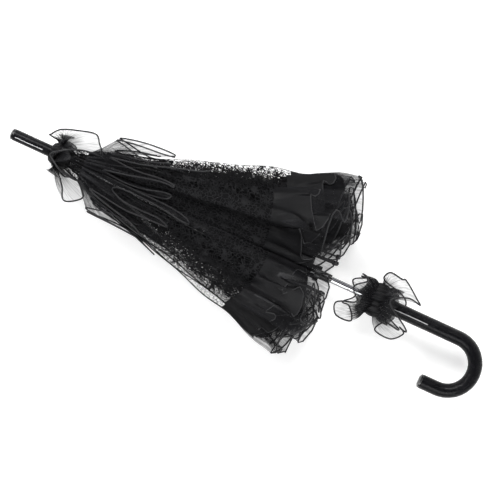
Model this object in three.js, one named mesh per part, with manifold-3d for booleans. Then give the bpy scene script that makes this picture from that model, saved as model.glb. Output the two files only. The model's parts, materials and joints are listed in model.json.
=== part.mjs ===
// A closed lace parasol lying on a table: shaft along X, tip at the origin, crook handle at +X, +Z up.
// Eight ribs hinge on a notched crown, eight stretchers join them to a runner that slides on the shaft,
// and sixteen half gores of cloth hinge along the ribs, two to a gore. All sizes are in millimetres.
import * as THREE from 'three';
import Module from 'manifold-3d';
import { mergeVertices } from 'three/addons/utils/BufferGeometryUtils.js';

const wasm = await Module();
wasm.setup();

// ---- driving dimensions ----
const GAP = 0.3;                    // between pieces that touch
const TABLE_Z = -38;                // the surface the parasol lies on, below the shaft's axis
const WELD = 0.2;                   // how far joined shapes run into each other before they become one

const SHAFT = { radius: 4, wall: 0.8, start: 4.3, end: 520 };
const FERRULE = { radius: 7.25, capLength: 4, end: 64, tipFlat: 5.2, tipShoulder: 7, tipBevel: 1.4 };
const CROWN_CAP = { start: 64.3, end: 65.7, radius: 9 };
const NOTCH = { start: 66, plate: 3, end: 77, radius: 10.5, slotFloor: 5, slotWidth: 3.6 };

const RIBS = 8;
const CLOSED = THREE.MathUtils.degToRad(3.5);   // rib angle from the shaft, closed
const OPENED = THREE.MathUtils.degToRad(50);    // and open, which sets the width of the gores
const PIVOT_X = 72;                 // rib hinges, along the shaft
const PIVOT_R = 7;                  // rib and runner hinges, from the axis
const RIB = { heel: 1.2, length: 352, width: 3, depth: 2.4, groove: 1.8, web: 0.8 };
const BRACKET = { at: 170, length: 8, drop: 2.8, inner: 1, outer: 1.8, below: 4.2 };
const TIP = { length: 6.7, neck: 2.2, radius: 3.4 };
const STRETCHER = { width: 1.4, halfDepth: 1 };

const RUNNER = { bore: 4.35, flange: 10, half: 3.2, hub: 5.6, tail: 5.7, tailLength: 15, slotWidth: 2.2 };
const CATCH = { azimuth: 67.5, length: 8, width: 0.8, low: 2, high: 6, ramp: 3.6, flat: 1.5 };
const CATCH_SLOT = { width: 1.4, spare: 0.8, reach: 6.4 };
const BOTTOM_CATCH = 6;             // behind the closed runner's hinges
const TOP_CATCH = 0.7;              // behind the open runner's tail
const STOP_PIN = { ahead: 1.5, radius: 0.8, hole: 1.1, half: 5.4, azimuth: 22.5 };

const HANDLE = { start: 484, radius: 9, bendX: 603, bend: 33.7, tail: 21, bore: 4.3, boreEnd: 521 };
const CROOK_POINTS = 24;            // steps round the half turn of the crook
const HANDLE_CAP = { length: 3.6, radius: 8.7, dome: 5 };
const COLLAR = { start: 478, radius: 9.6, chamfer: 1.2 };

const CLOTH = { thickness: 0.6, start: 60, hem: 320, offset: 2 };
const CLOTH_RIB_GAP = { near: 3, slope: 5 };    // from the hinge line to the cloth, at the crown and per hem
const CLOTH_FOLD_GAP = { near: 1.5, slope: 10 }; // from the fold line to the cloth, likewise
// Where each closed gore's fold points, seen along the shaft, in degrees from +Y towards +Z.
const FOLD_DIRECTIONS = [19, 25, 156, 167, 174, 185, -5, 5];

// ---- linkage: rib hinge, stretcher hinge and runner make an isosceles triangle ----
const ARM = Math.hypot(BRACKET.at, BRACKET.drop);
const ARM_BEHIND = Math.atan2(BRACKET.drop, BRACKET.at);
const ARM_ANGLE = CLOSED - ARM_BEHIND;
const RUNNER_X = PIVOT_X + 2 * ARM * Math.cos(ARM_ANGLE);
const OPEN_RUNNER_X = PIVOT_X + 2 * ARM * Math.cos(OPENED - ARM_BEHIND);
const BOTTOM_CATCH_X = RUNNER_X + BOTTOM_CATCH;
const TOP_CATCH_X = OPEN_RUNNER_X + RUNNER.half + RUNNER.tailLength + TOP_CATCH;
const STOP_PIN_X = OPEN_RUNNER_X - RUNNER.half - STOP_PIN.ahead;

// ---- materials ----
const finish = (color, roughness, metalness) =>
  new THREE.MeshStandardMaterial({ color, roughness, metalness });
const STEEL = finish(0xb9bcc0, 0.22, 1.0);
const BLACK_STEEL = finish(0x121214, 0.4, 0.6);
const BLACK_PLASTIC = finish(0x0c0c0d, 0.35, 0.0);
const WRAP = finish(0x0b0b0e, 0.25, 0.0);
const LACE = finish(0x101012, 0.9, 0.0);
const ORGANZA = finish(0x1a1a1c, 0.7, 0.0);

// ---- helpers ----
const parasol = new THREE.Group();

function place(name, geometry, material, parent = parasol) {
  const mesh = new THREE.Mesh(geometry, material);
  mesh.name = name;
  parent.add(mesh);
  return mesh;
}

// A profile of [radius, x] points turned about the X axis.
function turned(profile, sides = 32) {
  const points = profile.map(([r, x]) => new THREE.Vector2(r, x));
  return new THREE.LatheGeometry(points, sides).rotateZ(-Math.PI / 2);
}

// A ring from x0 to x1 between two radii.
function ring(inner, outer, x0, x1, sides) {
  return turned([[inner, x0], [outer, x0], [outer, x1], [inner, x1], [inner, x0]], sides);
}

function box(x0, x1, y0, y1, z0, z1) {
  return new THREE.BoxGeometry(x1 - x0, y1 - y0, z1 - z0)
    .translate((x0 + x1) / 2, (y0 + y1) / 2, (z0 + z1) / 2);
}

function solid(geometry) {
  const bare = geometry.clone();
  bare.deleteAttribute('normal');
  bare.deleteAttribute('uv');
  const merged = mergeVertices(bare, 1e-4);
  return new wasm.Manifold(new wasm.Mesh({
    numProp: 3,
    vertProperties: new Float32Array(merged.attributes.position.array),
    triVerts: new Uint32Array(merged.index.array),
  }));
}

function toGeometry(manifold) {
  const made = manifold.getMesh();
  const geometry = new THREE.BufferGeometry();
  geometry.setAttribute('position', new THREE.BufferAttribute(made.vertProperties, made.numProp));
  geometry.setIndex(new THREE.BufferAttribute(made.triVerts, 1));
  geometry.computeVertexNormals();
  return geometry;
}

// The group whose Z points away from the shaft at an azimuth in degrees from +Y towards +Z.
function aroundShaft(azimuth) {
  const group = new THREE.Group();
  group.rotation.x = THREE.MathUtils.degToRad(azimuth - 90);
  parasol.add(group);
  return group;
}

// A geometry standing at an azimuth, for cutting pieces that are built about the shaft.
const turnedTo = (geometry, azimuth) =>
  geometry.rotateX(THREE.MathUtils.degToRad(azimuth - 90));

const ribAzimuth = (i) => (360 / RIBS) * i;

// An outline in (x, z) given thickness along Y, centred on y = 0.
function slab(shape, thickness, curveSegments = 8) {
  return new THREE.ExtrudeGeometry(shape, { depth: thickness, bevelEnabled: false, curveSegments })
    .translate(0, 0, -thickness / 2)
    .rotateX(Math.PI / 2);
}

const outline = (points) => new THREE.Shape(points.map(([x, y]) => new THREE.Vector2(x, y)));

// ---- shaft, tip and crown ----
function shaftTube() {
  let tube = solid(ring(SHAFT.radius - SHAFT.wall, SHAFT.radius, SHAFT.start, SHAFT.end, 32));
  for (const x of [BOTTOM_CATCH_X, TOP_CATCH_X]) {
    const slot = box(x - CATCH_SLOT.spare, x + CATCH.length + CATCH_SLOT.spare,
      -CATCH_SLOT.width / 2, CATCH_SLOT.width / 2, 0, SHAFT.radius + 1);
    tube = tube.subtract(solid(turnedTo(slot, CATCH.azimuth)));
  }
  const hole = new THREE.CylinderGeometry(STOP_PIN.hole, STOP_PIN.hole, 3 * SHAFT.radius, 16)
    .rotateX(Math.PI / 2).translate(STOP_PIN_X, 0, 0);
  return toGeometry(tube.subtract(solid(turnedTo(hole, STOP_PIN.azimuth))));
}

function stopPin() {
  const pin = new THREE.CylinderGeometry(STOP_PIN.radius, STOP_PIN.radius, 2 * STOP_PIN.half, 12)
    .rotateX(Math.PI / 2).translate(STOP_PIN_X, 0, 0);
  return turnedTo(pin, STOP_PIN.azimuth);
}

function ferruleCap() {
  const { radius, capLength, tipFlat, tipShoulder, tipBevel } = FERRULE;
  return turned([[0, 0], [tipFlat, 0], [tipShoulder, tipBevel], [radius, capLength], [0, capLength]]);
}

function notch() {
  let disc = solid(ring(SHAFT.radius + GAP, NOTCH.radius, NOTCH.start, NOTCH.end, 48));
  for (let i = 0; i < RIBS; i++) {
    const slot = box(NOTCH.start + NOTCH.plate, NOTCH.end + 1,
      -NOTCH.slotWidth / 2, NOTCH.slotWidth / 2, NOTCH.slotFloor, NOTCH.radius + 1);
    disc = disc.subtract(solid(turnedTo(slot, ribAzimuth(i))));
  }
  return toGeometry(disc);
}

// ---- ribs and stretchers ----
// A rib is built along X with its hinge at the origin, its open channel facing -Z, towards the shaft.
function ribChannel() {
  const w = RIB.width / 2;
  const g = RIB.groove / 2;
  const h = RIB.depth / 2;
  const top = h - RIB.web;
  const section = outline([[-w, -h], [-g, -h], [-g, top], [g, top], [g, -h], [w, -h], [w, h], [-w, h]]);
  const alongX = new THREE.Matrix4().makeBasis(
    new THREE.Vector3(0, 1, 0), new THREE.Vector3(0, 0, 1), new THREE.Vector3(1, 0, 0));
  const channel = new THREE.ExtrudeGeometry(section, { depth: RIB.length + RIB.heel, bevelEnabled: false })
    .applyMatrix4(alongX).translate(-RIB.heel, 0, 0);
  let rib = solid(channel);
  for (const side of [-1, 1]) {
    const [y0, y1] = side < 0 ? [-BRACKET.outer, -BRACKET.inner] : [BRACKET.inner, BRACKET.outer];
    const ear = box(BRACKET.at - BRACKET.length / 2, BRACKET.at + BRACKET.length / 2,
      y0, y1, -BRACKET.below, -h + WELD);
    rib = rib.add(solid(ear));
  }
  return toGeometry(rib);
}

function ribTip() {
  const x = RIB.length + GAP;
  const { length, neck, radius } = TIP;
  return turned([[0, x], [neck, x], [radius, x + 0.4 * length], [0.7 * radius, x + 0.9 * length],
    [0, x + length]], 16);
}

function stretcher() {
  const r = STRETCHER.halfDepth;
  const bar = new THREE.Shape();
  bar.absarc(0, 0, r, Math.PI / 2, 1.5 * Math.PI, false);
  bar.absarc(ARM, 0, r, -Math.PI / 2, Math.PI / 2, false);
  return slab(bar, STRETCHER.width, 5);
}

// ---- runner and catches ----
function runner() {
  const tail = ring(RUNNER.bore, RUNNER.tail, RUNNER_X, RUNNER_X + RUNNER.half + RUNNER.tailLength, 32);
  let body = solid(ring(RUNNER.bore, RUNNER.flange, RUNNER_X - RUNNER.half, RUNNER_X + RUNNER.half, 48));
  body = body.add(solid(tail));
  const x0 = RUNNER_X - RUNNER.half - 1;
  for (let i = 0; i < RIBS; i++) {
    const slot = box(x0, RUNNER_X + RUNNER.half + 1,
      -RUNNER.slotWidth / 2, RUNNER.slotWidth / 2, RUNNER.hub, RUNNER.flange + 1);
    body = body.subtract(solid(turnedTo(slot, ribAzimuth(i))));
  }
  const keyway = box(x0, RUNNER_X + RUNNER.half + RUNNER.tailLength + 1,
    -CATCH_SLOT.width / 2, CATCH_SLOT.width / 2, 0, CATCH_SLOT.reach);
  return toGeometry(body.subtract(solid(turnedTo(keyway, CATCH.azimuth))));
}

// A spring catch whose ramp rises towards +X, or towards -X when it is mirrored.
function springCatch(x, mirrored) {
  const { length, low, high, ramp, flat } = CATCH;
  const side = [[0, low], [length, low], [length, high], [length - flat, high], [0, ramp]];
  const points = mirrored ? side.map(([a, b]) => [length - a, b]).reverse() : side;
  return slab(outline(points), CATCH.width).translate(x, 0, 0);
}

// ---- handle ----
function handlePath() {
  const { start, bendX, bend, tail } = HANDLE;
  const path = new THREE.CurvePath();
  path.add(new THREE.LineCurve3(new THREE.Vector3(start, 0, 0), new THREE.Vector3(bendX, 0, 0)));
  const crook = [];
  for (let i = 0; i <= CROOK_POINTS; i++) {
    const a = Math.PI / 2 - (Math.PI * i) / CROOK_POINTS;
    crook.push(new THREE.Vector3(bendX + bend * Math.cos(a), -bend + bend * Math.sin(a), 0));
  }
  path.add(new THREE.CatmullRomCurve3(crook));
  path.add(new THREE.LineCurve3(crook[CROOK_POINTS], new THREE.Vector3(bendX - tail, -2 * bend, 0)));
  return path;
}

function handle() {
  const section = new THREE.Shape();
  section.absarc(0, 0, HANDLE.radius, 0, 2 * Math.PI, false);
  const rod = new THREE.ExtrudeGeometry(section, {
    extrudePath: handlePath(), steps: 40, bevelEnabled: false, curveSegments: 20,
  });
  const { start, bore, boreEnd } = HANDLE;
  const socket = turned([[0, start - 1], [bore, start - 1], [bore, boreEnd], [0, boreEnd]], 32);
  return toGeometry(solid(rod).subtract(solid(socket)));
}

function handleCap() {
  const { length, radius, dome } = HANDLE_CAP;
  const x = HANDLE.bendX - HANDLE.tail - GAP;
  return turned([[0, x - length], [dome, x - length], [radius, x - 0.5 * length], [radius, x], [0, x]], 24)
    .translate(0, -2 * HANDLE.bend, 0);
}

function handleCollar() {
  const { start, radius, chamfer } = COLLAR;
  const end = HANDLE.start - GAP;
  const inner = SHAFT.radius + GAP;
  return turned([[inner, start], [radius - chamfer, start], [radius, start + chamfer],
    [radius, end], [inner, end], [inner, start]]);
}

// ---- ruffle collars: a hub with two flared skirts, flattened where they lie on the table ----
const CROWN_RUFFLE = [[7.6, 52], [20, 48], [43, 45.5], [44, 49], [24, 54], [14, 59], [26, 67],
  [42, 78], [40, 81], [22, 72.5], [11.8, 66], [7.6, 61.5], [7.6, 52]];
const HANDLE_RUFFLE = [[9.4, 486], [20, 466], [39, 449], [42, 453], [24, 470], [16, 489], [24, 508],
  [41, 530], [38, 534], [20, 515], [9.4, 496], [9.4, 486]];

function ruffleCollar(profile) {
  const reach = Math.max(...profile.map((p) => p[0])) + 1;
  const xs = profile.map((p) => p[1]);
  const aboveTable = box(Math.min(...xs) - 1, Math.max(...xs) + 1, -reach, reach, TABLE_Z, reach);
  return toGeometry(solid(turned(profile, 40)).intersect(solid(aboveTable)));
}

// ---- canopy cloth ----
// Half the open gore's angle at the crown, and how far behind the rib hinge the open ribs' cloth lines meet.
const HALF_GORE = Math.asin(Math.sin(OPENED) * Math.sin(Math.PI / RIBS));
const APEX = (PIVOT_R + CLOTH.offset * Math.cos(OPENED)) / Math.sin(OPENED);
const HALF_WIDTH = (CLOTH.hem + APEX) * Math.tan(HALF_GORE);

// The closed cloth line of rib i at the hem, in (y, z) across the shaft.
function hemPoint(i) {
  const a = THREE.MathUtils.degToRad(ribAzimuth(i));
  const r = PIVOT_R + CLOTH.offset * Math.cos(CLOSED) + CLOTH.hem * Math.sin(CLOSED);
  return new THREE.Vector2(r * Math.cos(a), r * Math.sin(a));
}

// Where gore i's fold lies at the hem: in its own direction, with the whole gore's width in its two halves.
function foldPoint(i) {
  const [a, b] = [hemPoint(i), hemPoint(i + 1)];
  const angle = THREE.MathUtils.degToRad(FOLD_DIRECTIONS[i]);
  const way = new THREE.Vector2(Math.cos(angle), Math.sin(angle));
  const middle = a.clone().add(b).multiplyScalar(0.5);
  let [low, high] = [0, 2 * HALF_WIDTH];
  const at = (t) => middle.clone().addScaledVector(way, t);
  for (let n = 0; n < 50; n++) {
    const t = (low + high) / 2;
    const used = at(t).distanceTo(a) + at(t).distanceTo(b);
    if (used < 2 * HALF_WIDTH) low = t; else high = t;
  }
  return at(low);
}

// The half of gore g that hangs on rib i.
// In the rib's own frame X runs along the rib, Z away from the shaft and Y towards falling azimuth.
function halfGore(i, g) {
  const across = foldPoint(g).sub(hemPoint(i));
  const a = THREE.MathUtils.degToRad(ribAzimuth(i));
  const outward = (across.x * Math.cos(a) + across.y * Math.sin(a)) * Math.cos(CLOSED);
  const sideways = across.y * Math.cos(a) - across.x * Math.sin(a);
  const width = Math.hypot(outward, sideways);
  const spread = width / (CLOTH.hem + APEX);
  const inner = (d) => CLOTH_RIB_GAP.near + (CLOTH_RIB_GAP.slope * d) / CLOTH.hem;
  const outer = (d) => (d + APEX) * spread - CLOTH_FOLD_GAP.near - (CLOTH_FOLD_GAP.slope * d) / CLOTH.hem;
  const { start, hem, thickness, offset } = CLOTH;
  const piece = outline([[start, inner(start)], [hem, inner(hem)], [hem, outer(hem)], [start, outer(start)]]);
  // the slab lies in the rib's (X, Z) plane, and turns about the rib's cloth line to face the fold
  return slab(piece, thickness)
    .rotateX(Math.atan2(sideways, outward))
    .translate(0, 0, offset);
}

// ---- assembly ----
place('shaft_tube', shaftTube(), STEEL);
place('stop_pin', stopPin(), STEEL);
place('ferrule_cap', ferruleCap(), BLACK_PLASTIC);
place('ferrule_sleeve', ring(SHAFT.radius + GAP, FERRULE.radius, FERRULE.capLength + GAP, FERRULE.end), WRAP);
place('crown_cap', ring(SHAFT.radius + GAP, CROWN_CAP.radius, CROWN_CAP.start, CROWN_CAP.end), BLACK_PLASTIC);
place('crown_notch', notch(), BLACK_PLASTIC);
place('crown_ruffle', ruffleCollar(CROWN_RUFFLE), ORGANZA);
place('runner', runner(), BLACK_PLASTIC);
place('handle_collar', handleCollar(), BLACK_PLASTIC);
place('handle_crook', handle(), WRAP);
place('handle_end_cap', handleCap(), BLACK_PLASTIC);
place('handle_ruffle', ruffleCollar(HANDLE_RUFFLE), ORGANZA);

const catches = aroundShaft(CATCH.azimuth);
place('bottom_catch', springCatch(BOTTOM_CATCH_X, false), STEEL, catches);
place('top_catch', springCatch(TOP_CATCH_X, true), STEEL, catches);

for (let i = 0; i < RIBS; i++) {
  const plane = aroundShaft(ribAzimuth(i));
  const frame = new THREE.Group();
  frame.position.set(PIVOT_X, 0, PIVOT_R);
  frame.rotation.y = -CLOSED;
  plane.add(frame);
  place(`rib_${i + 1}`, ribChannel(), BLACK_STEEL, frame);
  place(`rib_tip_${i + 1}`, ribTip(), BLACK_PLASTIC, frame);
  place(`gore_${i + 1}_left`, halfGore(i, i), LACE, frame);
  place(`gore_${i + 1}_right`, halfGore(i, (i + RIBS - 1) % RIBS), LACE, frame);

  const bar = place(`stretcher_${i + 1}`, stretcher(), BLACK_STEEL, plane);
  bar.position.set(PIVOT_X + ARM * Math.cos(ARM_ANGLE), 0, PIVOT_R + ARM * Math.sin(ARM_ANGLE));
  bar.rotation.y = ARM_ANGLE;
}

export default parasol;
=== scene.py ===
import bpy
import json
import math
import numpy as np
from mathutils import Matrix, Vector


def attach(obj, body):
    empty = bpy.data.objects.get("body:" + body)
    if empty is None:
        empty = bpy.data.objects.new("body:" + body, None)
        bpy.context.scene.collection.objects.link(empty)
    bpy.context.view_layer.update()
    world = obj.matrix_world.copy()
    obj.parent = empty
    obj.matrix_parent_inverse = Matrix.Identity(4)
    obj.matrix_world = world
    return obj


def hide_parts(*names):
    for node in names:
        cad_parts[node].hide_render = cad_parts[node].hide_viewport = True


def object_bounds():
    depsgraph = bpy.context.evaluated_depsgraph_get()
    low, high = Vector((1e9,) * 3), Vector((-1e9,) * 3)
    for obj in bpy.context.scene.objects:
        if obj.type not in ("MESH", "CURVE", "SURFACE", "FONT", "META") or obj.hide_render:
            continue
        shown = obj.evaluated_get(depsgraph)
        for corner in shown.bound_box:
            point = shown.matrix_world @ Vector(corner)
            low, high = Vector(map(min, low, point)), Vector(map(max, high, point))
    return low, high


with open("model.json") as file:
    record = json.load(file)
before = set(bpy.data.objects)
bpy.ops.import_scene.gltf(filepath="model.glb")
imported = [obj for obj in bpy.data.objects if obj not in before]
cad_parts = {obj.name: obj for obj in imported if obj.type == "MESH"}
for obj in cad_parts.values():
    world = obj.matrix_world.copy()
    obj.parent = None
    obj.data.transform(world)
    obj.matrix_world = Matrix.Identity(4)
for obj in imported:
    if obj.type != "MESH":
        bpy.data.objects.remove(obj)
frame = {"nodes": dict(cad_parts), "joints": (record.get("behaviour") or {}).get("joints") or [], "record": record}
CAD_LOW, CAD_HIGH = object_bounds()
JOINTS = {j["name"]: j for j in frame["joints"]}
RNG = np.random.default_rng(7)
FLOOR_Z = CAD_LOW.z
REST_Z = FLOOR_Z + 0.0006           # cloth that lies on the table stops here

# ---------------------------------------------------------------- camera
TILT = math.radians(24.6)           # the shaft runs down to the right in the view
CAMERA_HEIGHT = 1.9
FILM = 36                           # mm across
VIEW_WIDE = 0.6125                  # metres across the view, at the shaft's height
cam = bpy.data.objects.new("camera", bpy.data.cameras.new("camera"))
bpy.context.scene.collection.objects.link(cam)
cam.location = (0.325, -0.0084, CAMERA_HEIGHT)
cam.rotation_euler = (0, 0, TILT)
cam.data.sensor_width = FILM
cam.data.lens = FILM * CAMERA_HEIGHT / VIEW_WIDE
cam.data.clip_end = 20
bpy.context.scene.camera = cam


# ---------------------------------------------------------------- materials
def new_material(name, color, roughness, **sockets):
    m = bpy.data.materials.new(name)
    m.use_nodes = True
    shader = m.node_tree.nodes["Principled BSDF"]
    shader.inputs["Base Color"].default_value = (*color, 1)
    shader.inputs["Roughness"].default_value = roughness
    for key, value in sockets.items():
        shader.inputs[key.replace("_", " ")].default_value = value
    return m, m.node_tree.nodes, m.node_tree.links, shader


def math_node(nodes, links, kind, a, b=None, clamp=False):
    n = nodes.new("ShaderNodeMath")
    n.operation = kind
    n.use_clamp = clamp
    for i, v in enumerate((a, b)):
        if v is None:
            continue
        if isinstance(v, (int, float)):
            n.inputs[i].default_value = v
        else:
            links.new(v, n.inputs[i])
    return n.outputs[0]


def smooth_step(nodes, links, value, low, high, to_low=0.0, to_high=1.0):
    n = nodes.new("ShaderNodeMapRange")
    n.interpolation_type = "SMOOTHSTEP"
    links.new(value, n.inputs["Value"])
    n.inputs["From Min"].default_value = low
    n.inputs["From Max"].default_value = high
    n.inputs["To Min"].default_value = to_low
    n.inputs["To Max"].default_value = to_high
    return n.outputs["Result"]


def noise(nodes, vector, links, scale, detail=3.0, distortion=0.0):
    n = nodes.new("ShaderNodeTexNoise")
    n.inputs["Scale"].default_value = scale
    n.inputs["Detail"].default_value = detail
    n.inputs["Distortion"].default_value = distortion
    links.new(vector, n.inputs["Vector"])
    return n


def voronoi(nodes, links, vector, scale, feature="F1", dims="2D", randomness=1.0):
    n = nodes.new("ShaderNodeTexVoronoi")
    n.voronoi_dimensions = dims
    n.feature = feature
    n.inputs["Scale"].default_value = scale
    n.inputs["Randomness"].default_value = randomness
    links.new(vector, n.inputs["Vector"])
    return n


def bump(nodes, links, shader, height, strength, distance):
    b = nodes.new("ShaderNodeBump")
    b.inputs["Strength"].default_value = strength
    b.inputs["Distance"].default_value = distance
    links.new(height, b.inputs["Height"])
    links.new(b.outputs["Normal"], shader.inputs["Normal"])


def two_tone(nodes, links, shader, factor, low, high):
    mix = nodes.new("ShaderNodeMix")
    mix.data_type = "RGBA"
    mix.inputs["A"].default_value = (*low, 1)
    mix.inputs["B"].default_value = (*high, 1)
    links.new(factor, mix.inputs["Factor"])
    links.new(mix.outputs["Result"], shader.inputs["Base Color"])


def lace_material():
    """Floral lace: a fine irregular net with petalled flowers, small leaves and stems in it."""
    m, nodes, links, shader = new_material("lace", (0.012, 0.012, 0.013), 0.7, Specular_IOR_Level=0.08,
                                           Sheen_Weight=0.01, Sheen_Roughness=0.45)
    uv = nodes.new("ShaderNodeTexCoord").outputs["UV"]
    wobble = noise(nodes, uv, links, 60, 2)
    warp = nodes.new("ShaderNodeVectorMath")
    warp.operation = "MULTIPLY_ADD"
    links.new(wobble.outputs["Color"], warp.inputs[0])
    warp.inputs[1].default_value = (0.006, 0.006, 0)
    links.new(uv, warp.inputs[2])
    worked = warp.outputs[0]

    drawn = nodes.new("ShaderNodeMapping")
    drawn.inputs["Scale"].default_value = (1.35, 0.72, 1)
    links.new(worked, drawn.inputs["Vector"])
    net = voronoi(nodes, links, drawn.outputs[0], 215, "DISTANCE_TO_EDGE")
    depth = nodes.new("ShaderNodeUVMap")
    depth.uv_map = "depth"
    inset = nodes.new("ShaderNodeSeparateXYZ")
    links.new(depth.outputs["UV"], inset.inputs[0])
    crowded = noise(nodes, worked, links, 26, 2)
    inside_by = math_node(nodes, links, "ADD", inset.outputs["X"],
                          smooth_step(nodes, links, crowded.outputs["Fac"], 0.3, 0.7, -0.006, 0.006))
    gathered = smooth_step(nodes, links, inside_by, 0.017, 0.030, 0.0, 0.94)
    # near the fold the net is finer and the flowers stop, and the fold itself is a dark crease, painted shade
    stout = smooth_step(nodes, links, inset.outputs["X"], 0.001, 0.018, 0.008, 0.046)
    threads = smooth_step(nodes, links, math_node(nodes, links, "SUBTRACT", net.outputs["Distance"], stout),
                          0.020, 0.055, 1, 0)
    flowered = smooth_step(nodes, links, inside_by, 0.003, 0.008)
    painted_crease_shade = smooth_step(nodes, links, inset.outputs["X"], 0.0004, 0.0007, 0.9, 0.0)

    def flowers(scale, petals, size, wave):
        v = voronoi(nodes, links, worked, scale, "F1", "2D", 0.75)
        away = nodes.new("ShaderNodeVectorMath")
        away.operation = "SUBTRACT"
        links.new(worked, away.inputs[0])
        links.new(v.outputs["Position"], away.inputs[1])
        split = nodes.new("ShaderNodeSeparateXYZ")
        links.new(away.outputs[0], split.inputs[0])
        angle = math_node(nodes, links, "ARCTAN2", split.outputs["Y"], split.outputs["X"])
        turns = math_node(nodes, links, "MULTIPLY", angle, petals)
        hue = nodes.new("ShaderNodeSeparateXYZ")
        links.new(v.outputs["Color"], hue.inputs[0])
        start = math_node(nodes, links, "MULTIPLY", hue.outputs["X"], 6.28)
        turns = math_node(nodes, links, "ADD", turns, start)
        reach = math_node(nodes, links, "MULTIPLY", math_node(nodes, links, "COSINE", turns), wave)
        reach = math_node(nodes, links, "ADD", reach, size)
        left = math_node(nodes, links, "SUBTRACT", reach, v.outputs["Distance"])
        return smooth_step(nodes, links, left, 0.0, 0.03), left

    bloom, inside = flowers(46, 6, 0.24, 0.10)
    leaf, _ = flowers(125, 2, 0.16, 0.13)
    # an open ring of net runs inside each flower's outline
    ring = math_node(nodes, links, "ABSOLUTE", math_node(nodes, links, "SUBTRACT", inside, 0.075))
    ring = smooth_step(nodes, links, ring, 0.018, 0.035)
    bloom = math_node(nodes, links, "MULTIPLY", bloom, ring)
    stems = noise(nodes, worked, links, 55, 1.0)
    off_middle = math_node(nodes, links, "SUBTRACT", stems.outputs["Fac"], 0.5)
    stem = math_node(nodes, links, "ABSOLUTE", off_middle)
    stem = smooth_step(nodes, links, stem, 0.008, 0.016, 1, 0)
    solid = math_node(nodes, links, "MAXIMUM", math_node(nodes, links, "MAXIMUM", bloom, leaf), stem)
    solid = math_node(nodes, links, "MULTIPLY", solid, flowered)
    worked_in = math_node(nodes, links, "MAXIMUM", solid, threads)
    closed_up = math_node(nodes, links, "MAXIMUM", worked_in, gathered)
    alpha = math_node(nodes, links, "MAXIMUM", closed_up, painted_crease_shade)
    links.new(alpha, shader.inputs["Alpha"])
    # painted shade: the gathered fill and the fold crease show the darker tone, the threads and flowers the
    # lighter one
    two_tone(nodes, links, shader, worked_in, (0.0025, 0.0025, 0.003), (0.012, 0.012, 0.013))
    bump(nodes, links, shader, math_node(nodes, links, "ADD", solid, threads), 0.8, 0.0005)
    return m


def organza_material(name, sewn_alpha, free_alpha):
    """Crisp sheer cloth, dark where it is gathered into the seam and clear towards its free edge."""
    m, nodes, links, shader = new_material(name, (0.01, 0.01, 0.011), 0.45, Specular_IOR_Level=0.15,
                                           Sheen_Weight=0.04, Sheen_Roughness=0.3)
    uv = nodes.new("ShaderNodeTexCoord").outputs["UV"]
    depth = nodes.new("ShaderNodeUVMap")
    depth.uv_map = "depth"
    split = nodes.new("ShaderNodeSeparateXYZ")
    links.new(depth.outputs["UV"], split.inputs[0])
    streak_at = nodes.new("ShaderNodeMapping")
    streak_at.inputs["Scale"].default_value = (1, 0.12, 1)
    links.new(uv, streak_at.inputs["Vector"])
    streaks = noise(nodes, streak_at.outputs[0], links, 420, 3)
    cloud = noise(nodes, uv, links, 38, 3)
    gathered = smooth_step(nodes, links, split.outputs["Y"], 0.0, 0.75, sewn_alpha, free_alpha)
    streak = smooth_step(nodes, links, streaks.outputs["Fac"], 0.42, 0.66, 0.0, 0.22)
    alpha = math_node(nodes, links, "ADD", gathered, streak)
    alpha = math_node(nodes, links, "ADD", alpha,
                      smooth_step(nodes, links, cloud.outputs["Fac"], 0.3, 0.7, -0.05, 0.1), clamp=True)
    links.new(alpha, shader.inputs["Alpha"])
    two_tone(nodes, links, shader, cloud.outputs["Fac"], (0.006, 0.006, 0.007), (0.015, 0.015, 0.017))
    weave = noise(nodes, uv, links, 2600, 2)
    bump(nodes, links, shader, weave.outputs["Fac"], 0.3, 0.0002)
    return m


def satin_material():
    """Close-woven lining cloth with a dull sheen."""
    m, nodes, links, shader = new_material("satin", (0.009, 0.009, 0.010), 0.42, Specular_IOR_Level=0.12,
                                           Sheen_Weight=0.01, Sheen_Roughness=0.4)
    uv = nodes.new("ShaderNodeTexCoord").outputs["UV"]
    grain = nodes.new("ShaderNodeTexWave")
    grain.inputs["Scale"].default_value = 900
    grain.inputs["Distortion"].default_value = 1.5
    links.new(uv, grain.inputs["Vector"])
    cloud = noise(nodes, uv, links, 45, 4)
    two_tone(nodes, links, shader, cloud.outputs["Fac"], (0.0035, 0.0035, 0.004), (0.009, 0.009, 0.010))
    dullness = smooth_step(nodes, links, cloud.outputs["Fac"], 0.3, 0.7, 0.34, 0.52)
    links.new(dullness, shader.inputs["Roughness"])
    bump(nodes, links, shader, grain.outputs["Fac"], 0.3, 0.0003)
    return m


def cord_material():
    """Twisted edging cord, a little greyer than the cloth, as painted sheen."""
    m, nodes, links, shader = new_material("edge_cord", (0.03, 0.03, 0.033), 0.5, Specular_IOR_Level=0.3)
    at = nodes.new("ShaderNodeTexCoord").outputs["Object"]
    twist = noise(nodes, at, links, 900, 2)
    # painted sheen: the greyer tone stands in for the sheen that shows the cord against the black cloth; the twist
    # noise varies it at random
    two_tone(nodes, links, shader, twist.outputs["Fac"], (0.006, 0.006, 0.007), (0.028, 0.028, 0.030))
    bump(nodes, links, shader, twist.outputs["Fac"], 0.6, 0.0004)
    return m


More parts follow.
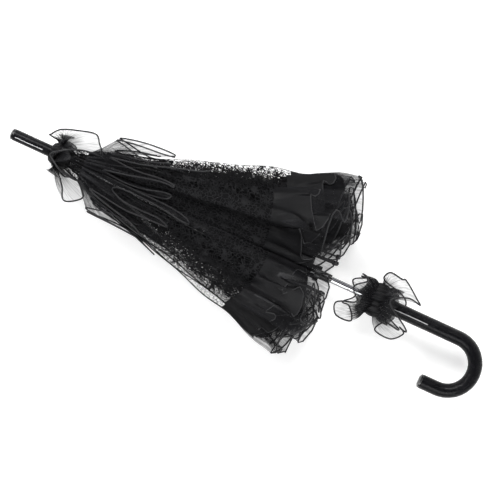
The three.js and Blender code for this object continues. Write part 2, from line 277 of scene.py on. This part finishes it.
def wrap_material():
    """Glossy black wrap pressed with a fine scaly grain."""
    m, nodes, links, shader = new_material("black_wrap", (0.009, 0.009, 0.011), 0.24,
                                           Specular_IOR_Level=0.11,
                                           Coat_Weight=0.08, Coat_Roughness=0.08)
    at = nodes.new("ShaderNodeTexCoord").outputs["Object"]
    scales = voronoi(nodes, links, at, 620, "DISTANCE_TO_EDGE", "3D")
    fine = noise(nodes, at, links, 1500, 3)
    cracks = smooth_step(nodes, links, scales.outputs["Distance"], 0.0, 0.16)
    grain = math_node(nodes, links, "MULTIPLY", fine.outputs["Fac"], 0.5)
    height = math_node(nodes, links, "ADD", cracks, grain)
    wear = noise(nodes, at, links, 70, 4)
    two_tone(nodes, links, shader, wear.outputs["Fac"], (0.0015, 0.0015, 0.002), (0.005, 0.005, 0.007))
    dullness = smooth_step(nodes, links, wear.outputs["Fac"], 0.35, 0.7, 0.14, 0.34)
    links.new(dullness, shader.inputs["Roughness"])
    bump(nodes, links, shader, height, 0.55, 0.0006)
    return m


def enamel_material(name, color, roughness):
    """A smooth hard finish whose colour and gloss vary a little."""
    m, nodes, links, shader = new_material(name, color, roughness, Coat_Weight=0.3)
    at = nodes.new("ShaderNodeTexCoord").outputs["Object"]
    haze = noise(nodes, at, links, 160, 4)
    low = tuple(c * 0.7 for c in color)
    high = tuple(c * 1.6 for c in color)
    two_tone(nodes, links, shader, haze.outputs["Fac"], low, high)
    links.new(smooth_step(nodes, links, haze.outputs["Fac"], 0.3, 0.7, roughness * 0.8, roughness * 1.3),
              shader.inputs["Roughness"])
    bump(nodes, links, shader, haze.outputs["Fac"], 0.15, 0.0004)
    return m


def chrome_material():
    """Bright tube with scratches along it, and painted reflections: a dark line along it and two darker sides."""
    m, nodes, links, shader = new_material("chrome", (0.6, 0.61, 0.63), 0.1, Metallic=1.0)
    at = nodes.new("ShaderNodeTexCoord").outputs["Object"]
    stretch = nodes.new("ShaderNodeMapping")
    stretch.inputs["Scale"].default_value = (20, 900, 900)
    links.new(at, stretch.inputs["Vector"])
    scratch = noise(nodes, stretch.outputs[0], links, 1.0, 3)
    dullness = smooth_step(nodes, links, scratch.outputs["Fac"], 0.3, 0.7, 0.06, 0.2)
    links.new(dullness, shader.inputs["Roughness"])
    # painted reflection: a dark line along the tube and its two darker sides, painted into the colour
    split = nodes.new("ShaderNodeSeparateXYZ")
    links.new(at, split.inputs[0])
    from_dark_line = math_node(nodes, links, "SUBTRACT", split.outputs["Y"], 0.0012)
    off_dark_line = math_node(nodes, links, "ABSOLUTE", from_dark_line)
    # seam here is the painted dark reflection line along the tube
    seam = smooth_step(nodes, links, off_dark_line, 0.0005, 0.0012, 0.0, 1.0)
    off_axis = math_node(nodes, links, "ABSOLUTE", split.outputs["Y"])
    edge = smooth_step(nodes, links, off_axis, 0.0027, 0.0037, 1.0, 0.0)
    painted_reflection_mask = math_node(nodes, links, "MULTIPLY", math_node(nodes, links, "MULTIPLY", seam, edge),
                       smooth_step(nodes, links, scratch.outputs["Fac"], 0.2, 0.6, 0.7, 1.0))
    # painted reflection: the base colour goes dark along the line and at the sides
    two_tone(nodes, links, shader, painted_reflection_mask, (0.03, 0.03, 0.033), (0.62, 0.63, 0.65))
    return m


LACE = lace_material()
ORGANZA = organza_material("organza", 0.93, 0.15)
ORGANZA_DENSE = organza_material("organza_gathered", 1.0, 0.72)
ORGANZA_HEM = organza_material("organza_hem", 1.0, 0.22)
SATIN = satin_material()
CORD = cord_material()
WRAP = wrap_material()
CHROME = chrome_material()
PLASTIC = enamel_material("black_plastic", (0.010, 0.010, 0.011), 0.22)
BLACK_STEEL = enamel_material("black_enamel", (0.012, 0.012, 0.013), 0.35)
# pale grey for the painted highlight lines on the wrap
HIGHLIGHT_PAINT = enamel_material("painted_highlight", (0.42, 0.42, 0.43), 0.25)
SPRING = enamel_material("spring_steel", (0.30, 0.30, 0.32), 0.3)

SLOT_MATERIAL = {"chrome_steel": CHROME, "spring_steel": SPRING, "black_plastic": PLASTIC,
                 "runner_metal": BLACK_STEEL, "black_wrap": WRAP, "black_steel": BLACK_STEEL,
                 "lace": LACE, "organza": ORGANZA}
for part in frame["record"]["subparts"]:
    node = frame["nodes"][part["node"]]
    node.data.materials.clear()
    node.data.materials.append(SLOT_MATERIAL[part["material_slot"]])
    for face in node.data.polygons:
        face.material_index = 0


# ---------------------------------------------------------------- mesh helpers
def grid_mesh(name, points, uv, material, around=False, inset=None):
    """A sheet from an array of points, rows by columns. around joins the last column to the first.
    The second UV map holds how far down its depth a point lies, and with inset how far in from the edge."""
    rows, cols = points.shape[:2]
    faces = []
    corners = []
    last = cols if around else cols - 1
    for i in range(rows - 1):
        for j in range(last):
            k = (j + 1) % cols
            faces.append((i * cols + j, i * cols + k, (i + 1) * cols + k, (i + 1) * cols + j))
            corners += [(i, j), (i, j + 1), (i + 1, j + 1), (i + 1, j)]
    mesh = bpy.data.meshes.new(name)
    mesh.from_pydata([tuple(p) for p in points.reshape(-1, 3)], [], faces)
    layer = mesh.uv_layers.new(name="UVMap")
    layer.data.foreach_set("uv", np.array([uv(i, j) for i, j in corners], np.float32).ravel())
    depth = mesh.uv_layers.new(name="depth")
    depth.data.foreach_set("uv", np.array([(inset(i, j) if inset else j / cols, i / (rows - 1))
                                             for i, j in corners], np.float32).ravel())
    mesh.polygons.foreach_set("use_smooth", [True] * len(mesh.polygons))
    mesh.materials.append(material)
    mesh.update()
    obj = bpy.data.objects.new(name, mesh)
    bpy.context.scene.collection.objects.link(obj)
    return obj


def tube_arrays(points, radius, closed=False, sides=6):
    """Vertices and faces of a round cord along points."""
    p = np.asarray(points, float)
    n = len(p)
    ahead = np.roll(p, -1, 0) - np.roll(p, 1, 0) if closed else np.gradient(p, axis=0)
    ahead /= np.linalg.norm(ahead, axis=1)[:, None] + 1e-12
    side = np.cross(ahead[0], (0.3, 0.5, 0.81))
    verts, faces = [], []
    for i in range(n):
        side = side - ahead[i] * (side @ ahead[i])
        side /= np.linalg.norm(side)
        up = np.cross(ahead[i], side)
        for k in range(sides):
            a = 2 * math.pi * k / sides
            verts.append(p[i] + radius * (math.cos(a) * side + math.sin(a) * up))
    for i in range(n if closed else n - 1):
        j = (i + 1) % n
        for k in range(sides):
            m = (k + 1) % sides
            faces.append((i * sides + k, i * sides + m, j * sides + m, j * sides + k))
    if not closed:
        faces.append(tuple(range(sides))[::-1])
        faces.append(tuple((n - 1) * sides + k for k in range(sides)))
    return verts, faces


def cords(name, lines, radius, material, closed=False):
    """One object holding a cord along each of several lines."""
    verts, faces = [], []
    for line in lines:
        v, f = tube_arrays(line, radius, closed)
        faces += [tuple(i + len(verts) for i in face) for face in f]
        verts += v
    mesh = bpy.data.meshes.new(name)
    mesh.from_pydata([tuple(v) for v in verts], [], faces)
    mesh.polygons.foreach_set("use_smooth", [True] * len(mesh.polygons))
    mesh.materials.append(material)
    mesh.update()
    obj = bpy.data.objects.new(name, mesh)
    bpy.context.scene.collection.objects.link(obj)
    return obj


def on_table(points):
    """Cloth that would pass through the table lies on it instead."""
    z = points[..., 2]
    low = REST_Z + 0.003
    squeezed = REST_Z + 0.003 * np.exp(np.minimum(z - low, 0) / 0.006)
    points[..., 2] = np.where(z < low, squeezed, z)
    return points


# ---------------------------------------------------------------- where each half gore lies
def unit(v):
    return v / np.linalg.norm(v)


class HalfGore:
    """A half gore's plane: its hinge line along the rib, and its fold line, which its neighbour shares."""

    def __init__(self, name):
        self.name = name
        joint = JOINTS[name + "_fold"]
        self.hinge = np.array(joint["pos_m"])
        self.along = np.array(joint["axis"])
        co = np.array([v.co for v in frame["nodes"][name].data.vertices], float) - self.hinge
        flat = co - np.outer(co @ self.along, self.along)
        self.across = unit(flat[np.argmax(np.linalg.norm(flat, axis=1))])
        self.normal = unit(np.cross(self.along, self.across))
        # the canopy's outer face
        self.outward = self.normal * (-1 if name.endswith("left") else 1)

    def hinge_at(self, x):
        return self.hinge + self.along * ((x - self.hinge[0]) / self.along[0])


def fold_at(left, right, x):
    """The point at x where two half gores' planes cross."""
    rows = np.array([left.normal, right.normal, (1.0, 0, 0)])
    known = np.array([left.normal @ left.hinge, right.normal @ right.hinge, x])
    return np.linalg.solve(rows, known)


APEX = 0.0108       # how far behind the rib hinges the cloth's two straight edges would meet
HEM_ALONG = 0.320   # rib hinge to hem, along the rib


def edge_of(h, mate, x):
    """Where a half gore's own outer edge is at x: it narrows evenly from the hem to the apex."""
    left, right = (h, mate) if h.name.endswith("left") else (mate, h)
    hem_x = h.hinge[0] + HEM_ALONG * h.along[0]
    wide = np.linalg.norm(fold_at(left, right, hem_x) - h.hinge_at(hem_x))
    run = (x - h.hinge[0]) / h.along[0]
    return h.hinge_at(x) + h.across * wide * max(run + APEX, 0.0005) / (HEM_ALONG + APEX)


def ridge_at(h, mate, x):
    """The fold line the two halves of a gore share."""
    return 0.5 * (edge_of(h, mate, x) + edge_of(mate, h, x))


RIBS = 8
halves = {}
for i in range(1, RIBS + 1):
    for side in ("left", "right"):
        halves[f"gore_{i}_{side}"] = HalfGore(f"gore_{i}_{side}")


def partner(name):
    _, i, side = name.split("_")
    i = int(i)
    if side == "left":
        return f"gore_{i % RIBS + 1}_right"
    return f"gore_{(i - 2) % RIBS + 1}_left"


def pleat_of(name):
    _, i, side = name.split("_")
    return int(i) if side == "left" else (int(i) - 2) % RIBS + 1


def soft_limit(v, start, room):
    """Values past start level off before start + room."""
    over = np.maximum(v - start, 0)
    return np.where(v > start, start + room * (1 - np.exp(-over / room)), v)


WIDEST, WIDEST_ROOM = 0.122, 0.0080     # where the cloth levels off to +Y, and how far past it may go
HIGHEST, HIGHEST_ROOM = 0.062, 0.0135   # the same upwards


def settle(points):
    """Cloth on the crook's side sags inwards, more so the higher it lies. None stands too far out."""
    y = points[..., 1]
    z = points[..., 2]
    t = np.clip((-y - 0.030) / 0.095, 0, 1)
    ease = t * t * (3 - 2 * t)
    high = np.clip(y / 0.12, 0, 1) * np.clip(z - 0.008, 0, 0.08)
    inwards = y + (0.017 + 0.22 * np.clip(z, 0, 0.08)) * ease - 0.16 * high
    points[..., 1] = soft_limit(inwards, WIDEST, WIDEST_ROOM)
    points[..., 2] = soft_limit(z + 0.006 * np.sin(math.pi * t), HIGHEST, HIGHEST_ROOM)
    return points


CROWN_X, HEM_X = 0.064, 0.402
PHASE = {f"gore_{i}_{side}": RNG.uniform(0, 2 * math.pi, 6)
         for i in range(1, RIBS + 1) for side in ("left", "right")}
RIDGE = {i: RNG.uniform(0, 2 * math.pi, 4) for i in range(1, RIBS + 1)}
TOP = ("gore_3_left", "gore_3_right")   # the gore that lies on top, with room to billow
NOTCH_CLEAR = 0.0128                    # radius of the cloth where it is drawn over the crown's notch


def canopy_point(name, x, t):
    """A point of the lace at x along the shaft and t across the half gore, from the rib to the fold."""
    h = halves[name]
    a = h.hinge_at(x)
    b = ridge_at(h, halves[partner(name)], x)
    grow = np.clip((x - CROWN_X) / (HEM_X - CROWN_X), 0, 1.1)
    ph = PHASE[name]
    p = a + (b - a) * t
    bell = math.sin(math.pi * min(t, 1.0))
    if name in TOP:
        wave = (0.60 * math.sin(2 * math.pi * 1.6 * t + ph[0] + 1.2 * math.sin(7 * x + ph[1]))
                + 0.40 * math.sin(2 * math.pi * 3.6 * t + ph[2] - 12 * x)
                + 0.16 * math.sin(2 * math.pi * 7.1 * t + ph[5] + 15 * x))
        lift = grow ** 0.8 * bell ** 0.7 * (0.010 + 0.011 * wave)
    else:
        wave = (math.sin(2 * math.pi * 1.3 * t + ph[0] + 8 * x) * 0.6
                + 0.4 * math.sin(2 * math.pi * 2.7 * t + ph[1]))
        lift = grow * bell * (0.002 + 0.0030 * wave)
    lift += 0.0012 * bell * math.sin(60 * x + 9 * t + ph[3])
    p = p + h.outward * lift
    # the fold line itself wavers, alike on both halves
    r = RIDGE[pleat_of(name)]
    sway = grow * t * t * (3 - 2 * t)
    p = p + sway * np.array([0, 0.0035 * math.sin(34 * x + r[0]) + 0.002 * math.sin(81 * x + r[1]),
                             0.003 * math.sin(29 * x + r[2])])
    # the cloth is drawn over the crown's notch
    clear = NOTCH_CLEAR * (1 - float(np.clip((x - 0.080) / 0.03, 0, 1)))
    r = math.hypot(p[1], p[2])
    if r < clear:
        p[1:] *= clear / r
    return p


def surface(name, xs, ts, shift):
    """Points over a half gore, rows along the rib by columns across. shift(i, j) moves one along x."""
    pts = np.empty((len(xs), len(ts), 3))
    for i, x in enumerate(xs):
        for j, t in enumerate(ts):
            pts[i, j] = canopy_point(name, x + shift(i, j), t)
    return on_table(settle(pts))


def width_at(name, x):
    h = halves[name]
    return float(np.linalg.norm(ridge_at(h, halves[partner(name)], x) - h.hinge_at(x)))


def sewn(obj, body):
    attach(obj, body)
    return obj


# ---------------------------------------------------------------- canopy
LACE_ROWS, LACE_COLS = 60, 22
HEM_CUT = 0.020                     # how much shorter the lace is at its fold than at its rib
OPEN_PLEATS = (3, 4, 5, 6)          # the pleats whose open net shows a long way in from the fold
OPEN_SHARE, CLOSED_SHARE = 0.28, 1.2
RIB_GATHER = 0.034


def lace_panel(name):
    """The lace of one half gore, sewn along its rib and folded along its outer edge."""
    xs = np.linspace(CROWN_X, HEM_X, LACE_ROWS)
    ts = np.linspace(0, 1, LACE_COLS)
    pts = surface(name, xs, ts, lambda i, j: -HEM_CUT * (i / (LACE_ROWS - 1)) ** 4 * ts[j] ** 2)
    offset = RNG.uniform(0, 1, 2)
    widths = [width_at(name, x) for x in xs]
    share = OPEN_SHARE if pleat_of(name) in OPEN_PLEATS else CLOSED_SHARE

    def uv(i, j):
        return (offset[0] + widths[i] * j / (LACE_COLS - 1), offset[1] + xs[i])

    def inset(i, j):
        # in from the fold, and closed up again where it is gathered along the rib
        t = j / (LACE_COLS - 1)
        return share * widths[i] * (1 - t) + RIB_GATHER * max(0.0, 0.5 - t)

    obj = grid_mesh("lace_" + name, pts, uv, LACE, inset=inset)
    sewn(obj, name)
    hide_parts(name)


def ridge_direction(name):
    """The way the fold points away from the shaft, the same for both halves of the gore."""
    return unit(halves[name].across + halves[partner(name)].across)


HEM_PHASE = 2.3                     # so that the hem's waves don't follow the band's


def flounce(label, name, span, material, waves, height, base, swing, beyond, cord_radius):
    """A gathered strip sewn to a half gore along span[0], with its free edge about span[1]."""
    ph = PHASE[name] + (HEM_PHASE if label == "hem" else 0.0)
    rows, cols = 10, int(12 * waves) + 9
    s = np.linspace(0, 1, rows)
    u = np.linspace(0, 1, cols)
    x0, x1 = np.array(span) + 0.006 * math.sin(RIDGE[pleat_of(name)][1])
    h = halves[name]
    outside = ridge_direction(name)
    room = 0.55 if name in TOP else 1.0

    def turn(j):
        return 2 * math.pi * waves * u[j] + ph[2] + 0.8 * math.sin(3 * u[j] + ph[4])

    pts = np.empty((rows, cols, 3))
    for i in range(rows):
        for j in range(cols):
            free = s[i] ** 0.8
            # the strip doubles back on itself near its free edge
            t = u[j] + 0.30 / waves * s[i] * math.sin(2 * turn(j) + ph[5]) * math.sin(math.pi * u[j])
            edge = max(0.0, (t - 0.72) / 0.28)
            x = x0 + (x1 - x0) * s[i]
            # the hem is cut square to the fold, and rides up near the rib
            x -= 0.016 * t * t + 0.016 * s[i] * (1 - min(1, t / 0.35)) ** 2
            held_ends = math.sin(math.pi * min(1, 0.12 + 0.88 * u[j])) ** 0.5
            x += s[i] * swing * math.sin(turn(j) + ph[3]) * held_ends
            near_rib = min(1.0, 0.15 + 3.0 * u[j])
            near_fold = 1.0 - min(edge, 1.0) ** 2
            raised = near_rib * near_fold * room * (base + free * height * (0.5 + 0.5 * math.sin(turn(j))))
            p = canopy_point(name, x, min(max(t, 0.0), 1.0)) + h.outward * raised
            uneven = 0.75 + 0.25 * math.sin(60 * x + RIDGE[pleat_of(name)][3])
            reach = beyond * free * min(edge, 1.0) ** 1.5 * uneven
            pts[i, j] = p + outside * reach
    pts = on_table(settle(pts))
    obj_name = f"{label}_{name}"
    offset = RNG.uniform(0, 1, 2)
    step = np.linalg.norm(np.diff(pts[-1], axis=0), axis=1).sum() / (cols - 1)
    obj = grid_mesh(obj_name, pts,
                    lambda i, j: (offset[0] + step * j, offset[1] + (x1 - x0) * i / (rows - 1)), material)
    sewn(obj, name)
    trim = cords(f"{obj_name}_edge", [pts[-1]], cord_radius, CORD)
    sewn(trim, name)


TIER_SEAM = 0.098
TIER_LOOPS = 2.5
TIER_NEAR, TIER_FAR = 0.134, 0.248  # how far along the shaft its loops start and end
TIER_ROWS, TIER_COLS = 12, 64
LOOPED_PLEATS = (1, 4)              # the folds at whose edge the ruffle stands well clear of the cloth


def tier(name):
    """The ruffle round the crown end: its long free edge runs down the cloth and back in corded loops."""
    h = halves[name]
    ph = PHASE[name]
    outside = ridge_direction(name)
    looped_fold = pleat_of(name) in LOOPED_PLEATS
    side_on = 1.0 if name in TOP or looped_fold else 0.7
    reach_far = TIER_NEAR + (TIER_FAR - TIER_NEAR) * side_on + 0.012 * math.sin(RIDGE[pleat_of(name)][0])
    pts = np.empty((TIER_ROWS, TIER_COLS, 3))
    for j, u in enumerate(np.linspace(0, 1, TIER_COLS)):
        turn = 2 * math.pi * TIER_LOOPS * u
        uneven = 0.022 * math.sin(7.3 * u + ph[3]) * (1 - u)
        long = 0.5 - 0.5 * math.cos(turn)
        share = 0.80 + 0.20 * math.sin(11 * u + ph[0])
        if looped_fold:
            share *= 1 - 0.45 * u ** 3
        far = TIER_NEAR + (reach_far - TIER_NEAR) * long ** 0.8 * share + uneven
        # next to the fold the edge comes forward and stands clear of the cloth
        out = min(max((u - 0.60) / 0.18, 0.0), 1.0)
        out = out * out * (3 - 2 * out)
        far -= 0.012 * out * (1 - long)
        for i, s in enumerate(np.linspace(0, 1, TIER_ROWS) ** 1.7):
            x = TIER_SEAM + (far - TIER_SEAM) * s
            # each loop leans to one side, and its tip curls over
            lean = s * (s * (0.060 * math.sin(2 * turn) + 0.10 * math.sin(1.3 * turn + ph[4]))
                        + 0.06 * math.sin(52 * x + ph[0])) * math.sin(math.pi * u)
            t = min(max(u + lean, 0.0), 1.0)
            stand = 0.0016 + s ** 1.2 * (0.0035 + 0.0045 * (0.5 - 0.5 * math.cos(turn + 0.9)))
            stand *= ((1 - max(0.0, (u - 0.66) / 0.34) ** 2) * min(1.0, 0.25 + 4 * u)
                      * (0.9 if name in TOP else 1.2))
            p = canopy_point(name, x, t) + h.outward * stand
            flare = 0.004 + (0.020 if looped_fold else 0.003) * (1 - long)
            p = p + outside * flare * s ** 1.2 * out
            pts[i, j] = p
    pts = on_table(settle(pts))
    offset = RNG.uniform(0, 1, 2)
    step = np.linalg.norm(np.diff(pts[-1], axis=0), axis=1).mean()
    obj = grid_mesh("tier_" + name, pts,
                    lambda i, j: (offset[0] + 0.5 * step * j, offset[1] + 0.07 * i / (TIER_ROWS - 1)),
                    ORGANZA)
    sewn(obj, name)
    trim = cords(f"tier_{name}_edge", [pts[-1]], 0.0009, CORD)
    sewn(trim, name)


for name in halves:
    lace_panel(name)
    tier(name)
    flounce("hem", name, (0.350, 0.424), ORGANZA_HEM, 1.4, 0.0080, 0.0008, 0.013, 0.008, 0.0010)
    flounce("band", name, (0.344, 0.396), SATIN, 1.7, 0.0095, 0.0030, 0.017, 0.003, 0.0008)


# ---------------------------------------------------------------- rosettes at the crown and on the handle
def looped(controls, count):
    """A smooth closed run through (degrees, radius, x) controls in millimetres, as radians and metres."""
    c = np.array(controls, float) * (math.pi / 180, 0.001, 0.001)
    n = len(c)
    turn = np.array([2 * math.pi, 0, 0])
    at = lambda k: c[k % n] + turn * (k // n)
    out = []
    for q in np.linspace(0, n, count, endpoint=False):
        k, f = int(q), q - int(q)
        a, b, d, e = at(k - 1), at(k), at(k + 1), at(k + 2)
        out.append(0.5 * (2 * b + (d - a) * f + (2 * a - 5 * b + 4 * d - e) * f * f
                          + (3 * b - a - 3 * d + e) * f ** 3))
    return np.array(out)


COLS_PER_LOOP = 20


def rosette(name, x_sewn, r_sewn, controls, phase, under=False):
    """A gathered ring of sheer cloth about the shaft, from its seam out to a looping corded edge."""
    cols, depth = COLS_PER_LOOP * len(controls), 11
    edge = looped(controls, cols)
    s = np.linspace(0, 1, depth)
    pts = np.empty((depth, cols, 3))
    for i, q in enumerate(s):
        for j in range(cols):
            a, r_edge, x_edge = edge[j]
            seam = 2 * math.pi * j / cols + edge[0][0]
            gather = math.sin(0.9 * j + phase)
            angle = seam + (a - seam) * q ** 0.7
            belly = math.sin(math.pi * q) * 0.004
            r = (r_sewn + (r_edge - r_sewn) * q ** 0.9 + belly
                 + 0.0011 * gather * math.sin(math.pi * min(1, q + 0.15)))
            x = x_sewn + (x_edge - x_sewn) * q ** 1.15 + 0.0012 * gather * q * (1 - q) * 3
            pts[i, j] = (x, r * math.cos(angle), r * math.sin(angle))
    pts = on_table(pts)
    offset = RNG.uniform(0, 1, 2)
    step = np.linalg.norm(np.diff(pts[-1], axis=0), axis=1).sum() / (cols - 1)
    obj = grid_mesh(name, pts, lambda i, j: (offset[0] + step * j, offset[1] + 0.035 * i / (depth - 1)),
                    ORGANZA_DENSE if under else ORGANZA, True)
    sewn(obj, "shaft")
    trims = []
    if not under:
        trims = [cords(name + "_edge", [pts[-1]], 0.0010, CORD, closed=True)]
        sewn(trims[0], "shaft")
    deep = float(np.linalg.norm(np.diff(pts[:, ::COLS_PER_LOOP], axis=0), axis=2).sum(0).mean())
    return obj


# each loop's corners: degrees round the shaft, then mm out from its axis, then mm along it
CROWN_OUTER = [(-38, 22, 46), (-12, 20, 44), (2, 30, 54), (6, 38, 76), (0, 42, 94), (16, 35, 104),
               (34, 24, 114), (58, 32, 92), (80, 37, 70), (98, 28, 58), (118, 34, 76), (138, 26, 98),
               (156, 18, 72), (170, 34, 84), (178, 48, 92), (190, 42, 106), (198, 34, 110), (208, 20, 92),
               (232, 33, 74), (254, 28, 60), (276, 35, 74), (298, 27, 92)]
CROWN_INNER = [(-20, 24, 52), (15, 28, 74), (50, 22, 60), (85, 28, 82), (125, 24, 62), (160, 27, 80),
               (195, 23, 56), (235, 28, 84), (275, 22, 62), (310, 27, 78)]
HANDLE_FRONT = [(-40, 26, 470), (-14, 20, 463), (8, 21, 473), (30, 26, 462), (58, 32, 470), (84, 34, 457),
                (112, 28, 468), (140, 22, 456), (158, 26, 446), (176, 37, 454), (190, 36, 474),
                (206, 22, 464), (232, 30, 456), (262, 34, 468), (292, 30, 457)]
HANDLE_REAR = [(-34, 26, 512), (-12, 28, 490), (0, 38, 493), (10, 37, 509), (-6, 37, 516), (10, 22, 536),
               (34, 20, 541), (56, 32, 522), (80, 36, 504), (104, 28, 520), (130, 30, 538), (154, 20, 530),
               (168, 24, 538), (178, 36, 526), (188, 34, 505), (204, 22, 514), (228, 32, 534),
               (256, 34, 512), (286, 33, 530)]
# the dense underlayers: short folds leaning forwards and back from the seam
HANDLE_FRONT_UNDER = [(24 * k - 12, 21.5 + 2.5 * (k % 2), 468 + 6 * ((k * 3) % 4) / 3) for k in range(15)]
HANDLE_REAR_UNDER = [(24 * k, 20.5 + 3 * ((k + 1) % 2), 519 - 7 * ((k * 2) % 5) / 4) for k in range(15)]
crown = rosette("crown_ruffle_outer", 0.062, 0.0095, CROWN_OUTER, 0.4)
rosette("crown_ruffle_inner", 0.064, 0.0110, CROWN_INNER, 2.1, True)
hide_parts("crown_ruffle")
knot = rosette("handle_ruffle_front", 0.486, 0.0105, HANDLE_FRONT, 1.3)
rosette("handle_ruffle_rear", 0.492, 0.0105, HANDLE_REAR, 5.2)
rosette("handle_ruffle_front_under", 0.490, 0.0103, HANDLE_FRONT_UNDER, 0.2, True)
rosette("handle_ruffle_rear_under", 0.491, 0.0103, HANDLE_REAR_UNDER, 3.2, True)
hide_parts("handle_ruffle")


def tied_band(name, x_low, x_high, radius, puff):
    """The strip that the ruffles are sewn to, gathered round the shaft and puffed out between its ties."""
    rows, cols = 9, 160
    pts = np.empty((rows, cols, 3))
    for i, q in enumerate(np.linspace(0, 1, rows)):
        for j in range(cols):
            a = 2 * math.pi * j / cols
            swell = math.sin(math.pi * q) ** 0.6
            r = radius + puff * swell * (0.86 + 0.14 * math.sin(17 * a + 3 * q) + 0.12 * math.sin(5 * a + 2))
            x = x_low + (x_high - x_low) * q + 0.0004 * math.sin(5 * a)
            pts[i, j] = (x, r * math.cos(a), r * math.sin(a))
    obj = grid_mesh(name, pts, lambda i, j: (0.0005 * j, (x_high - x_low) * i / (rows - 1)), SATIN, True)
    sewn(obj, "shaft")


tied_band("crown_band", 0.0535, 0.0800, 0.0110, 0.0040)
tied_band("handle_band", 0.4735, 0.5120, 0.0100, 0.0115)


# ---------------------------------------------------------------- painted highlight lines along the wrap
def painted_highlight_line(name, x_low, x_high, radius, angle, thick):
    """A pale grey cord along the wrap, a painted highlight line, on the ferrule and on the handle."""
    line = []
    for x in np.linspace(x_low, x_high, 60):
        a = angle + 0.02 * math.sin(90 * x)
        line.append((x, radius * math.cos(a), radius * math.sin(a)))
    sewn(cords(name, [line], thick, HIGHLIGHT_PAINT), "shaft")


painted_highlight_line("ferrule_painted_highlight", 0.0070, 0.0440, 0.00695, math.radians(112), 0.0007)
painted_highlight_line("handle_painted_highlight", 0.5140, 0.5600, 0.00865, math.radians(97), 0.0006)

# ---------------------------------------------------------------- floor and light
FLOOR_HALF = 4
FLOOR_GLOW = 0.48                   # keeps the table as pale as the background above it
floor_mesh = bpy.data.meshes.new("floor")
floor_mesh.from_pydata([(a * FLOOR_HALF, b * FLOOR_HALF, 0) for a, b in ((-1, -1), (1, -1), (1, 1), (-1, 1))],
                       [], [(0, 1, 2, 3)])
floor = bpy.data.objects.new("floor", floor_mesh)
floor.location = (0.3, 0, FLOOR_Z - 0.0002)
bpy.context.scene.collection.objects.link(floor)
floor_material, _, _, floor_shader = new_material("floor", (0.75, 0.75, 0.75), 0.9)
floor_shader.inputs["Emission Color"].default_value = (1, 1, 1, 1)
floor_shader.inputs["Emission Strength"].default_value = FLOOR_GLOW
floor_mesh.materials.append(floor_material)

world = bpy.data.worlds.new("studio")
world.use_nodes = True
sky = world.node_tree.nodes
at = sky.new("ShaderNodeTexCoord").outputs["Generated"]     # pale round the horizon, dim overhead
split = sky.new("ShaderNodeSeparateXYZ")
world.node_tree.links.new(at, split.inputs[0])
glow = smooth_step(sky, world.node_tree.links, split.outputs["Z"], 0.0, 0.22, 0.75, 0.03)
sky["Background"].inputs["Color"].default_value = (1, 1, 1, 1)
world.node_tree.links.new(glow, sky["Background"].inputs["Strength"])
bpy.context.scene.world = world


def softbox(name, place, aim, size, power):
    """A soft rectangular light at place, turned towards aim."""
    light = bpy.data.lights.new(name, "AREA")
    light.shape = "RECTANGLE"
    light.size, light.size_y = size
    light.energy = power
    lamp = bpy.data.objects.new(name, light)
    lamp.location = place
    lamp.rotation_euler = (Vector(aim) - Vector(place)).to_track_quat("-Z", "Y").to_euler()
    bpy.context.scene.collection.objects.link(lamp)


softbox("key", (0.0, 1.1, 1.5), (0.32, 0, 0), (1.2, 0.8), 36)
softbox("fill", (0.9, -1.0, 1.3), (0.32, 0, 0), (1.2, 1.0), 20)
softbox("rim", (-0.7, 0.3, 1.0), (0.3, 0, 0), (0.5, 1.0), 8)
bpy.context.scene.view_settings.view_transform = "Standard"
